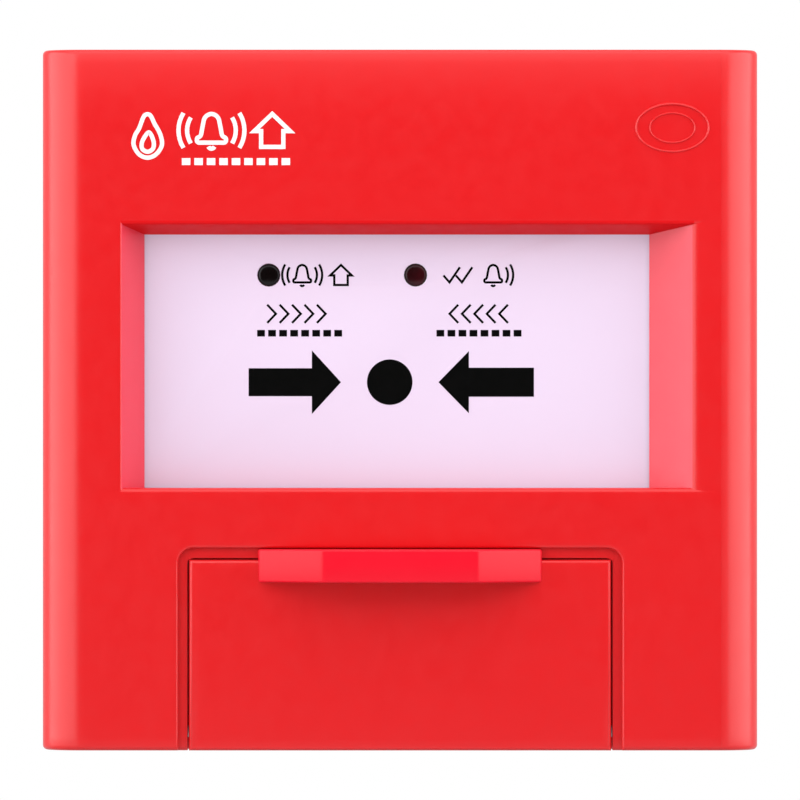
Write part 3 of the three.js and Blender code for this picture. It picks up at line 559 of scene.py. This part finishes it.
# Faces of an outer and an inner layer with the same grid, joined round every block that is left out. A
# quad whose corners aren't in one plane is split along the steeper diagonal, so that mitres run straight.
def twoLayers(rows, columns, keep, depth):
    quads = np.array(gridFaces(rows, columns)).reshape(rows - 1, columns - 1, 4)
    a, b, c, d = depth[:-1, :-1], depth[1:, :-1], depth[1:, 1:], depth[:-1, 1:]
    bent = keep & (np.abs(a + c - b - d) > bend)
    first = bent & (np.abs(a - c) >= np.abs(b - d))
    second = bent & ~first
    faces = quads[keep & ~bent].tolist()
    for where, cuts in ((first, ((0, 1, 2), (0, 2, 3))), (second, ((0, 1, 3), (1, 2, 3)))):
        for cut in cuts:
            faces += quads[where][:, list(cut)].tolist()
    inner = quads + rows * columns
    faces += inner[keep][:, ::-1].tolist()
    i, j = np.meshgrid(np.arange(rows), np.arange(columns), indexing="ij")
    index = i * columns + j
    turnRow = keep[1:] != keep[:-1]
    a, b = index[1:-1, :-1][turnRow], index[1:-1, 1:][turnRow]
    faces += np.column_stack([a, b, b + rows * columns, a + rows * columns]).tolist()
    turnColumn = keep[:, 1:] != keep[:, :-1]
    a, b = index[:-1, 1:-1][turnColumn], index[1:, 1:-1][turnColumn]
    faces += np.column_stack([a, b, b + rows * columns, a + rows * columns]).tolist()
    return faces


# How far two lists of coordinates lie outside a square block, each on the full grid of both.
def nearSquare(block, first, second):
    outFirst = np.abs(first - block["at"][0]) - block["half"]
    outSecond = np.abs(second - block["at"][1]) - block["half"]
    return np.meshgrid(outFirst, outSecond, indexing="ij")


# The cover's plan from the left skirt round the front to the right one, and at each point the way in:
# across on the sides, back on the front, and the radius's own direction on the arcs between.
def planLine(cover, across):
    half, front, radius = cover["half"], cover["front"], cover["round"]
    levels = np.array(cover["levels"])
    turn = np.linspace(0, np.pi / 2, cover["roundSteps"] + 1)[1:-1]
    sideY = np.concatenate([[cover["skirt"]], levels[:0:-1], levels[:1]])
    arcX, arcY = half - radius + radius * np.cos(turn), front + radius - radius * np.sin(turn)
    planX = np.concatenate([-half + 0 * sideY, -arcX, across, arcX[::-1], half + 0 * sideY])
    planY = np.concatenate([sideY, arcY, front + 0 * across, arcY[::-1], sideY[::-1]])
    inX = np.concatenate([1 + 0 * sideY, np.cos(turn), 0 * across, -np.cos(turn[::-1]), -1 + 0 * sideY])
    inY = np.concatenate([0 * sideY, np.sin(turn), 1 + 0 * across, np.sin(turn[::-1]), 0 * sideY])
    return planX, planY, inX, inY


# The outer layer is the plan line at every height, drawn in by a quarter circle at the top and bottom
# edges, leaning back as the square of the height past the crown, and sunk by the outside's depth. The
# inner layer is the plan line drawn in by the wall, or on the front by the inside's depth.
def coverLayers(cover, plan, upright):
    planX, planY, inX, inY = [line[:, None] for line in plan]
    flat = inY == 1
    edge, tall, wall, crown = cover["edge"], cover["tall"], cover["wall"], cover["crown"]
    run = np.clip(np.abs(upright) - tall + edge, 0, edge)
    draw = edge - np.sqrt(edge ** 2 - run ** 2)
    lean = crown["drop"] * (np.clip(upright - crown["from"], 0, None) / (tall - crown["from"])) ** 2
    x = planX + inX * draw
    y = planY + inY * (draw + lean)
    z = np.broadcast_to(upright, x.shape)
    gridX, gridZ = np.meshgrid(plan[0], upright, indexing="ij")
    sunk = np.where(flat, outsideDepth(cover, gridX, gridZ), 0)
    outX, outZ = roundDoorway(cover, x, z)
    outer = np.stack([np.where(flat, outX, x), y + sunk, np.where(flat, outZ, z)], axis=-1)
    turnAt = cover["innerTurn"]
    innerZ = np.sign(upright) * np.interp(np.abs(upright), [0, turnAt, tall], [0, turnAt, tall - wall])
    backed = np.where(flat, insideDepth(cover, gridX, gridZ), wall)
    inner = np.stack([
        planX + inX * wall + 0 * x,
        planY + inY * backed,
        np.broadcast_to(innerZ, x.shape),
    ], axis=-1)
    return outer, inner, sunk


# A floor or ceiling: the layers' own edge row carried straight back through the levels to the skirt.
# The ceiling leaves out the snap windows, and the floor leaves out the locking screw's block.
def coverLid(cover, rows, isCeiling):
    snap, levels = cover["snap"], cover["levels"][1:]
    deep = len(levels) + 2
    layers = []
    for row in rows:
        back = np.repeat(row[:, None], deep, axis=1)
        back[:, 1:, 1] = (*levels, cover["skirt"])
        layers.append(back)
    colX = (layers[0][1:, 0, 0] + layers[0][:-1, 0, 0]) / 2
    depths = np.array([-np.inf, *levels, cover["skirt"]])
    if isCeiling:
        beside = np.abs(np.abs(colX) - snap["x"]) < snap["half"]
        between = (depths[:-1] >= snap["from"] - step) & (depths[1:] <= snap["to"] + step)
        holes = beside[:, None] & between
    else:
        holes = np.maximum(*nearSquare(cover["screwHole"], colX, (depths[:-1] + depths[1:]) / 2)) < 0
    count = len(colX) + 1
    faces = twoLayers(count, deep, ~holes, np.zeros((count, deep)))
    last = np.arange(count - 1) * deep + deep - 1
    below = last + count * deep
    faces += np.column_stack([last, last + deep, below + deep, below]).tolist()
    return np.concatenate([layer.reshape(-1, 3) for layer in layers]), faces


# The whole cover: its two layers on one grid, open at the recess and at the bay's holes and closed along
# their upper and lower rims, with a floor and a ceiling.
def coverGrid(cover):
    across, upright = frontLines(cover)
    plan = planLine(cover, across)
    outer, inner, sunk = coverLayers(cover, plan, upright)
    rows, columns = sunk.shape
    window, near = cover["window"], step / 4
    midX, midZ = (plan[0][1:] + plan[0][:-1]) / 2, (upright[1:] + upright[:-1]) / 2
    leftOut = ((midX > window["left"]) & (midX < window["right"]))[:, None]
    leftOut = leftOut & (midZ > window["bottom"] + step) & (midZ < window["top"])
    for hole in cover["bayHoles"].values():
        leftOut |= np.maximum(*nearSquare(hole, midX, midZ)) < 0
    faces = twoLayers(rows, columns, ~leftOut, sunk)
    inWidth = (plan[0] > window["left"] - near) & (plan[0] < window["right"] + near) & (plan[3] == 1)
    inHeight = (upright > window["bottom"] + step / 2) & (upright < window["top"] + near)
    inWindow = inWidth[:, None] & inHeight
    inner[inWindow] = outer[inWindow]  # the two layers meet round the recess
    for row in (0, rows - 1):
        a = row * columns + np.arange(columns - 1)
        faces += np.column_stack([a, a + 1, a + 1 + rows * columns, a + rows * columns]).tolist()
    shell = np.concatenate([outer.reshape(-1, 3), inner.reshape(-1, 3)]), faces
    first = len(cover["levels"])
    span = slice(first, rows - first)
    lids = [coverLid(cover, [outer[span, row], inner[span, row]], row == -1) for row in (-1, 0)]
    return gathered([shell, *lids])


# Gives faces another finish where a test on their centres and normals (in millimetres) is true.
def repaint(piece, finish, test):
    mesh = piece.data
    count = len(mesh.polygons)
    centres, normals = np.empty(count * 3), np.empty(count * 3)
    slots = np.empty(count, dtype=np.int32)
    mesh.polygons.foreach_get("center", centres)
    mesh.polygons.foreach_get("normal", normals)
    mesh.polygons.foreach_get("material_index", slots)
    slots[test(centres.reshape(-1, 3) / mm, normals.reshape(-1, 3))] = len(mesh.materials)
    mesh.materials.append(paint[finish])
    mesh.polygons.foreach_set("material_index", slots)


# Where the recess's slopes are, and how far a face on one turns sideways, downwards and to the front. The
# side slopes take a painted highlight, and the top slope painted shade.
slopeZone = {
    "sides": {"bottom": -11.4, "top": 23.1, "half": 37.8, "floor": -32.0, "sideways": 0.5, "facing": -0.2},
    "top": {"bottom": 21.2, "top": 25.5, "left": -36.0, "right": 37.8,
            "sideways": 0.4, "down": -0.08, "facing": -0.1},
}


def onPaintedHighlightSlope(at, normal):
    zone = slopeZone["sides"]
    inRecess = (at[:, 2] > zone["bottom"]) & (at[:, 2] < zone["top"])
    inRecess &= (np.abs(at[:, 0]) < zone["half"]) & (at[:, 1] < zone["floor"])
    return inRecess & (np.abs(normal[:, 0]) > zone["sideways"]) & (normal[:, 1] < zone["facing"])


def onPaintedShadeSlope(at, normal):
    zone = slopeZone["top"]
    inRecess = (at[:, 2] > zone["bottom"]) & (at[:, 2] < zone["top"])
    inRecess &= (at[:, 0] > zone["left"]) & (at[:, 0] < zone["right"])
    turned = (np.abs(normal[:, 0]) < zone["sideways"]) & (normal[:, 2] < zone["down"])
    return inRecess & turned & (normal[:, 1] < zone["facing"])


# A hole through a square block of wall: every loop is a circle of its own radius round the block's axis,
# or the square itself, whose radius is half its side over the larger of the angle's cosine and sine.
def boredBlock(block, loops, axis):
    sides = block["sides"]
    angle = np.linspace(0, 2 * np.pi, sides, endpoint=False)
    square = block["half"] / np.maximum(np.abs(np.cos(angle)), np.abs(np.sin(angle)))
    radius = np.stack([square if reach is None else np.full(sides, reach) for reach, height in loops])
    across, up, along = layOf[axis]
    points = np.empty((*radius.shape, 3))
    points[..., across] = block["at"][0] + radius * np.cos(angle)
    points[..., up] = block["at"][1] + radius * np.sin(angle)
    points[..., along] = np.array([height for reach, height in loops])[:, None]
    return points.reshape(-1, 3), gridFaces(len(loops), sides, True, True)


# The loops of such a hole from one face of the wall to the other, with a broken edge and a counterbore.
def holeLoops(block, face, far):
    inward = np.sign(far - face)
    edge, mouth = block["edge"], block.get("head", block["bore"])
    loops = [(None, face), (mouth + edge, face), (mouth, face + edge * inward)]
    if "head" in block:
        loops += [(mouth, face + block["seat"] * inward), (block["bore"], face + block["seat"] * inward)]
    return loops + [(block["bore"], far), (None, far)]


cover = meshFrom("coverMoulding", *coverGrid(coverSet), "redCover")
# painted highlight on the side slopes, painted shade on the top slope
repaint(cover, "redSlopePaintedHighlight", onPaintedHighlightSlope)
repaint(cover, "redPaintedShade", onPaintedShadeSlope)
settle(cover, "housing", "red_cover", "front_cover")
bayFloor = coverSet["front"] + coverSet["bay"]["deep"]
for name, hole in coverSet["bayHoles"].items():
    loops = holeLoops(hole, bayFloor, bayFloor + coverSet["bay"]["floor"])
    settle(meshFrom(name, *boredBlock(hole, loops, "y"), "redCover"), "housing", "red_cover")
screwLoops = holeLoops(coverSet["screwHole"], -coverSet["tall"], coverSet["wall"] - coverSet["tall"])
screwBlock = boredBlock(coverSet["screwHole"], screwLoops, "z")
settle(meshFrom("lockScrewHole", *screwBlock, "redCover"), "housing", "red_cover")
print("cover made")

doorSet = {
    "half": 27.1, "top": -20.5, "bottom": -45.0, "front": -37.0, "back": -34.8,
    "edge": 0.5, "backEdge": 0.15, "crown": 0.10, "crownRun": 7.0, "crownSteps": 8,
    "tab": {"root": 18.2, "tip": 10.0, "front": -42.3, "flank": -37.05, "sunk": -35.2,
            "bottom": -23.4, "top": -19.15, "edge": 0.28, "corner": 0.35},
    "hinge": {"y": -33.2, "z": -42.6, "barrel": 1.6, "bore": 0.84, "inner": 17.0,
              "web": -34.9, "webHalf": 1.0, "sides": 90},
}
least = 1e-6  # kept above nought where a number is divided by


# A hinge barrel on its web: seen from the end its edge is the barrel's circle or the web's rectangle,
# whichever lies further out at each angle, with the pin's bore through it.
def hingeBarrel(hinge, start, end):
    sides, barrel = hinge["sides"], hinge["barrel"]
    angle = np.linspace(0, 2 * np.pi, sides, endpoint=False)
    webDeep = (hinge["y"] - hinge["web"]) / np.maximum(-np.cos(angle), least)
    web = np.minimum(webDeep, hinge["webHalf"] / np.maximum(np.abs(np.sin(angle)), least))
    edge = np.where(np.cos(angle) < 0, np.maximum(web, barrel), barrel)
    bore = np.full(sides, hinge["bore"])
    radius = np.stack([bore, edge, edge, bore])
    x = np.array([start, start, end, end])[:, None] + 0 * radius
    y, z = hinge["y"] + radius * np.cos(angle), hinge["z"] + radius * np.sin(angle)
    return np.stack([x, y, z], axis=-1).reshape(-1, 3), gridFaces(4, sides, True, True)


# The panel is its outline carried back from a front that rises as a square towards the middle. The tab is
# its plan (straight flanks, chamfers to the grip, and a flat grip) carried up.
def doorParts(door):
    half, tab, hinge = door["half"], door["tab"], door["hinge"]
    panel = [(-half, door["bottom"]), (half, door["bottom"]), (half, door["top"]), (-half, door["top"])]
    edge, run = door["edge"], np.linspace(1, 0, door["crownSteps"])
    crown = np.column_stack([edge + door["crownRun"] * run, door["front"] + door["crown"] * (1 - run) ** 2])
    profile = roundedEnds(door["front"] + door["crown"], door["back"], edge, door["backEdge"])
    body = [carriedRound(panel, np.vstack([crown[:-1], profile]))]
    body += [hingeBarrel(hinge, -half, -hinge["inner"]), hingeBarrel(hinge, hinge["inner"], half)]
    lip, root, tip = tab["edge"], tab["root"], tab["tip"]
    plan = [(-root, tab["sunk"]), (-root, tab["flank"]), (-tip, tab["front"]),
            (tip, tab["front"]), (root, tab["flank"]), (root, tab["sunk"])]
    plan = softened(plan, tab["corner"])
    return gathered(body), carriedRound(plan, roundedEnds(tab["bottom"], tab["top"], lip, lip), "z")


panel, tab = doorParts(doorSet)
settle(meshFrom("serviceDoor", *panel, "redCover"), "service_door", "red_cover", "service_door")
settle(meshFrom("doorTab", *tab, "redTab"), "service_door", "red_cover")
print("door made")

traySet = {"edge": 0.3}
tray = moulded("wallTray", "mounting_base", "redCover", traySet["edge"])
settle(tray, "housing", "red_cover", "mounting_base")
print("tray made")

# The prints stand half a film proud of the plate's front and half a film in it.
plateSet = {
    "edge": 0.25, "front": -31.7, "film": 0.02, "arrowZ": 2.29, "dot": (-1.32, 2.3), "dotRadius": 2.93,
    "leftArrow": {"tail": -19.5, "headBase": -11.35, "tip": -7.6, "shaftHalf": 1.8, "headHalf": 4.1},
    "rightArrow": {"tail": 17.25, "headBase": 8.87, "tip": 4.95, "shaftHalf": 1.87, "headHalf": 4.01},
}
pressPlate = moulded("pressPlate", "press_plate", "whitePlate", plateSet["edge"])
settle(pressPlate, "press_plate", "white_plate", "press_plate")


# An arrow's outline from its tail to its tip; the sign of tip minus tail gives its direction.
def arrowOutline(tail, headBase, tip, shaftHalf, headHalf, z):
    return [(tail, z - shaftHalf), (headBase, z - shaftHalf), (headBase, z - headHalf), (tip, z),
            (headBase, z + headHalf), (headBase, z + shaftHalf), (tail, z + shaftHalf)]


# Part of a circle as a path, from one angle to another in degrees.
def arcPath(centre, radius, fromAngle, toAngle, steps=14):
    angle = np.radians(np.linspace(fromAngle, toAngle, steps))
    return np.column_stack([centre[0] + radius * np.cos(angle), centre[1] + radius * np.sin(angle)])


# A whole circle: the centre plus the radius times (cosine, sine).
def circle(centre, radius, sides=64):
    angle = np.linspace(0, 2 * np.pi, sides, endpoint=False)
    return np.column_stack([centre[0] + radius * np.cos(angle), centre[1] + radius * np.sin(angle)])


inkFront, inkBack = plateSet["front"] - plateSet["film"], plateSet["front"] + plateSet["film"]
arrowZ = plateSet["arrowZ"]
plateMarks = {name: arrowOutline(z=arrowZ, **plateSet[name]) for name in ("leftArrow", "rightArrow")}
plateMarks["pressDot"] = circle(plateSet["dot"], plateSet["dotRadius"])
for name, outline in plateMarks.items():
    settle(slab(name, outline, inkFront, inkBack, "blackPrint"), "press_plate", "black_plastic")


# A closed curve through control points: on each span the Catmull-Rom cubic of its four nearest points.
def smoothLoop(points, spans=8):
    p1 = np.asarray(points, float)[:, None]
    p0, p2, p3 = np.roll(p1, 1, axis=0), np.roll(p1, -1, axis=0), np.roll(p1, -2, axis=0)
    t = np.linspace(0, 1, spans, endpoint=False)[None, :, None]
    cubic = 2 * p1 + (p2 - p0) * t + (2 * p0 - 5 * p1 + 4 * p2 - p3) * t ** 2
    cubic += (3 * p1 - p0 - 3 * p2 + p3) * t ** 3
    return (cubic / 2).reshape(-1, 2)


# Pictograms one unit tall, centred on (0, 0).
flameLoop = smoothLoop([
    (-0.02, 0.53), (0.07, 0.5), (0.17, 0.3), (0.3, 0.06), (0.34, -0.2), (0.2, -0.42),
    (0, -0.5), (-0.2, -0.42), (-0.33, -0.2), (-0.3, 0.02), (-0.2, 0.2), (-0.1, 0.46),
])
flameCore = smoothLoop([
    (0.03, 0.1), (0.14, -0.1), (0.13, -0.28), (0, -0.36), (-0.13, -0.28), (-0.12, -0.1),
])
bellSide = np.array([(0.18, 0.36), (0.25, 0.1), (0.3, -0.14), (0.4, -0.22), (0.38, -0.33), (0.2, -0.34)])
bellLoop = smoothLoop(np.vstack([[(0, 0.46)], bellSide, bellSide[::-1] * (-1, 1)]))
bellClapper = arcPath((0, -0.42), 0.09, 200, 340, 7)
waveAngle, waveRadii = 32, (0.68, 0.92)  # degrees either side, and how far out each wave runs
houseSide = np.array([(0.5, -0.02), (0.31, -0.02), (0.31, -0.46)])
houseLoop = np.vstack([[(-0.5, -0.02), (0, 0.46)], houseSide, houseSide[:0:-1] * (-1, 1)])
tick = [(-0.36, -0.02), (-0.08, -0.34), (0.4, 0.36)]
chevron = [(-0.18, 0.42), (0.22, 0), (-0.18, -0.42)]


# A path scaled, mirrored and moved to its place on a face.
def placed(path, centre, size, mirror=1):
    return np.asarray(path, float) * (size * mirror, size) + centre


# Drawn marks are lists of strokes, each a path and whether it closes.
def waves(centre, size, mirror=1):
    arcs = [arcPath((0, 0), radius, -waveAngle, waveAngle, 9) for radius in waveRadii]
    return [(placed(arc, centre, size, mirror), False) for arc in arcs]


def bell(centre, size):
    return [(placed(bellLoop, centre, size), True), (placed(bellClapper, centre, size), False)]


def house(centre, size):
    return [(placed(houseLoop, centre, size), True)]


# A row of dashes from left to right.
def dashes(left, right, z, dash, gap):
    starts = np.arange(left, right - dash / 2, dash + gap)
    return [([(start, z), (start + dash, z)], False) for start in starts]


captionSet = {
    "stroke": 0.3, "size": 2.8, "lampZ": 16.1, "leftBell": -12.6, "house": -7.6, "ticks": (6.6, 8.2),
    "rightBell": 12.0, "wordZ": 11.1, "chevrons": (-16.6, -15.0, -13.4, -11.8, -10.2),
    "backChevrons": (7.0, 8.6, 10.2, 11.8, 13.4),
    "rules": ((-18.4, -7.6), (4.7, 15.4)), "ruleZ": 8.6, "ruleStroke": 0.85, "dash": 1.0, "gap": 0.42,
}


# The small marks beside the lamps and over the arrows.
def captionStrokes(caption):
    size, lampZ, wordZ = caption["size"], caption["lampZ"], caption["wordZ"]
    leftBell, rightBell = (caption["leftBell"], lampZ), (caption["rightBell"], lampZ)
    strokes = bell(leftBell, size) + waves(leftBell, size) + waves(leftBell, size, -1)
    strokes += house((caption["house"], lampZ), size)
    strokes += [(placed(tick, (x, lampZ), size), False) for x in caption["ticks"]]
    strokes += bell(rightBell, size) + waves(rightBell, size)
    strokes += [(placed(chevron, (x, wordZ), size), False) for x in caption["chevrons"]]
    return strokes + [(placed(chevron, (x, wordZ), size, -1), False) for x in caption["backChevrons"]]


marks = captionStrokes(captionSet)
marks = ribbons("captionMarks", marks, captionSet["stroke"], inkFront, inkBack, "blackPrint")
settle(marks, "press_plate", "black_plastic")
dashGap = captionSet["dash"], captionSet["gap"]
rules = [stroke for ends in captionSet["rules"] for stroke in dashes(*ends, captionSet["ruleZ"], *dashGap)]
rules = ribbons("captionRules", rules, captionSet["ruleStroke"], inkFront, inkBack, "blackPrint")
settle(rules, "press_plate", "black_plastic")
print("press plate and its marks made")

badgeSet = {
    "front": -37.025, "back": -36.98, "stroke": 0.55, "flame": (-32.4, 33.8), "flameSize": 5.4,
    "bell": (-24.2, 34.6), "house": (-16.4, 34.6), "size": 4.6,
    "rule": (-28.0, -13.4), "ruleZ": 30.6, "ruleStroke": 0.9, "dash": 1.1, "gap": 0.5,
}


# The flame, the ringing bell and the house on the cover.
def badgeStrokes(badge):
    size = badge["size"]
    strokes = [(placed(loop, badge["flame"], badge["flameSize"]), True) for loop in (flameCore, flameLoop)]
    strokes += bell(badge["bell"], size) + waves(badge["bell"], size) + waves(badge["bell"], size, -1)
    return strokes + house(badge["house"], size)


depths = badgeSet["front"], badgeSet["back"]
badge = ribbons("coverBadge", badgeStrokes(badgeSet), badgeSet["stroke"], *depths, "whitePrint")
settle(badge, "housing", "white_plate")
rule = dashes(*badgeSet["rule"], badgeSet["ruleZ"], badgeSet["dash"], badgeSet["gap"])
badgeRule = ribbons("coverBadgeRule", rule, badgeSet["ruleStroke"], *depths, "whitePrint")
settle(badgeRule, "housing", "white_plate")

ovalSet = {
    "x": 34.95, "z": 34.95, "across": 4.65, "up": 3.05, "ridge": 0.42, "proud": 0.16, "sunk": 0.1,
    "innerShare": 0.62, "innerRidge": 0.8, "sides": 96, "section": 9,
}


# A low ridge carried round an ellipse: its section is half a cosine wave, standing on the cover's front.
def ovalRidge(oval, share, ridge):
    sides, steps = oval["sides"], oval["section"]
    turn = np.linspace(0, 2 * np.pi, sides, endpoint=False)[:, None]
    section = np.linspace(-1, 1, steps)[None]
    across, up = oval["across"] * share + section * ridge / 2, oval["up"] * share + section * ridge / 2
    y = coverSet["front"] + oval["sunk"] - (oval["proud"] + oval["sunk"]) * np.cos(section * np.pi / 2)
    x, z = oval["x"] + across * np.cos(turn), oval["z"] + up * np.sin(turn)
    points = np.stack([x, y + 0 * turn, z], axis=-1)
    faces = gridFaces(sides, steps, True, False)
    base = np.arange(sides) * steps
    follow = np.roll(base, -1)
    faces += np.column_stack([base + steps - 1, follow + steps - 1, follow, base]).tolist()
    return points.reshape(-1, 3), faces


outerRidge = ovalRidge(ovalSet, 1.0, ovalSet["ridge"])
innerRidge = ovalRidge(ovalSet, ovalSet["innerShare"], ovalSet["ridge"] * ovalSet["innerRidge"])
settle(meshFrom("embossedOval", *gathered([outerRidge, innerRidge]), "redCover"), "housing", "red_cover")
print("cover marks made")

lensSet = {
    "start": -16.9, "reply": 2.0, "z": 16.1, "front": -31.6, "radius": 1.42, "domeShare": 0.9, "dome": 0.12,
    "domeSteps": 7, "rim": 0.25, "side": 1.85, "back": 1.9, "backRadius": 1.2,
}


# Half of a lens's section, as radius and depth: a dome whose depth is the radius squared, a broken rim, a
# straight side and a flat back.
def lensProfile(lens):
    share, radius = np.linspace(0, 1, lens["domeSteps"]), lens["radius"]
    dome = np.column_stack([radius * lens["domeShare"] * share, lens["dome"] * share ** 2])
    back = [(lens["backRadius"], lens["back"]), (0, lens["back"])]
    return np.vstack([dome, [(radius, lens["rim"]), (radius, lens["side"])], back])


for name, finish in (("start", "smokedLens"), ("reply", "replyLens")):
    centre = lensSet[name], lensSet["front"], lensSet["z"]
    lens = turned(name + "Window", lensProfile(lensSet), centre, finish)
    settle(lens, "press_plate", "smoked_lens", name + "_led_lens")
print("lamp windows made")

# The nodes that stay keep their meshes and take the finish that goes with their own slot.
slotFinish = {
    "red_cover": "redCover", "white_plate": "whitePlate", "smoked_lens": "smokedLens",
    "black_plastic": "blackPlastic", "red_lamp": "redLamp", "green_lamp": "greenLamp",
    "board_green": "boardGreen", "terminal_grey": "terminalGrey", "relay_blue": "relayBlue",
    "steel": "steel", "spring_steel": "springSteel", "brass": "brass",
}
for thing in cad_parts.values():
    for held in thing.material_slots:
        slotName = held.material.name.split(".")[0] if held.material else "steel"
        held.material = paint[slotFinish.get(slotName, "steel")]
print("carried-over nodes painted")

stageSet = {"half": 0.5, "back": 0.45, "z": -0.09}


def addFloor(settings):
    half, back, z = settings["half"], settings["back"], settings["z"]
    corners = np.array([(-half, -half, z), (half, -half, z), (half, back, z), (-half, back, z)]) / mm
    return meshFrom("paleFloor", corners, [[0, 1, 2, 3]], "paleFloor", smooth=False)


addFloor(stageSet)
